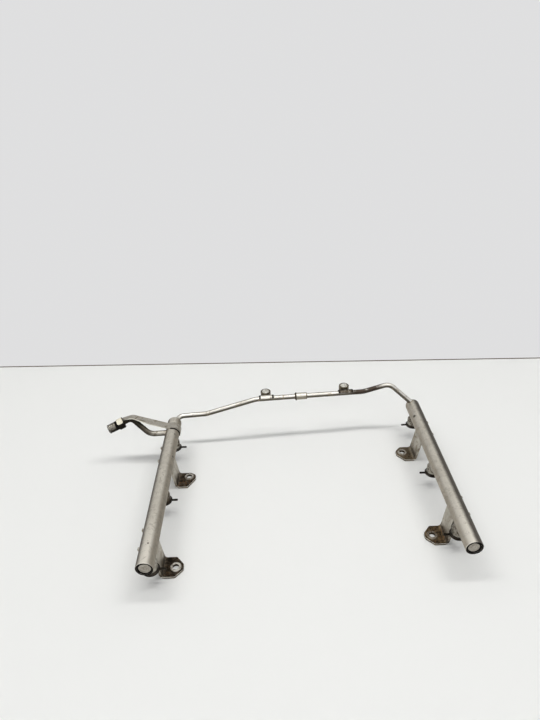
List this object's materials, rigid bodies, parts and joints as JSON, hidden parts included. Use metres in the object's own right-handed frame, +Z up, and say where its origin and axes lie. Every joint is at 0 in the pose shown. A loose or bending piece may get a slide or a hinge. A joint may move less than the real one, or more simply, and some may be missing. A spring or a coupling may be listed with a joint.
{
  "type": "fuel rail",
  "caption": "V-engine fuel rail: two plugged steel rail tubes on bracket feet, drawn injector cups underneath, a bent crossover pipe with eyelets and a side inlet with a hexagon.",
  "frame": {"origin": "on the plane of the feet's underside, below the middle of the whole rail's outline", "axes": "+X across the engine from the inlet side, +Y along the rail tubes from their plugged ends to the crossover pipe, +Z up"},
  "size_m": [0.5082, 0.3385, 0.0927],
  "materials": {
    "rail_steel": "satin drawn steel tube, warm grey, with darker edges",
    "plug_steel": "dull pressed steel",
    "cup_steel": "satin drawn steel, darker round the rim",
    "bracket_steel": "pressed steel, feet stained brown by oil and rust",
    "pipe_steel": "bright smooth steel tube",
    "sleeve_steel": "bright turned steel",
    "clip_steel": "pressed steel",
    "eyelet_steel": "turned steel, stained",
    "inlet_steel": "satin steel tube",
    "hexagon_zinc": "pale zinc-plated steel",
    "nose_steel": "dark oiled steel",
    "strap_steel": "pressed steel strip"
  },
  "bodies": {
    "root": {"crossover_pipe_left": "pipe_steel", "crossover_pipe_right": "pipe_steel", "crossover_union_sleeve": "sleeve_steel", "inlet_hexagon": "hexagon_zinc", "inlet_nose": "nose_steel", "inlet_support_strap": "strap_steel", "inlet_tube": "inlet_steel", "left_end_plug": "plug_steel", "left_eyelet": "eyelet_steel", "left_far_foot_bracket": "bracket_steel", "left_injector_cup_1": "cup_steel", "left_injector_cup_2": "cup_steel", "left_injector_cup_3": "cup_steel", "left_near_foot_bracket": "bracket_steel", "left_pipe_clip": "clip_steel", "left_rail_tube": "rail_steel", "right_end_plug": "plug_steel", "right_eyelet": "eyelet_steel", "right_far_foot_bracket": "bracket_steel", "right_injector_cup_1": "cup_steel", "right_injector_cup_2": "cup_steel", "right_injector_cup_3": "cup_steel", "right_near_foot_bracket": "bracket_steel", "right_pipe_clip": "clip_steel", "right_rail_tube": "rail_steel"}
  },
  "joints": []
}
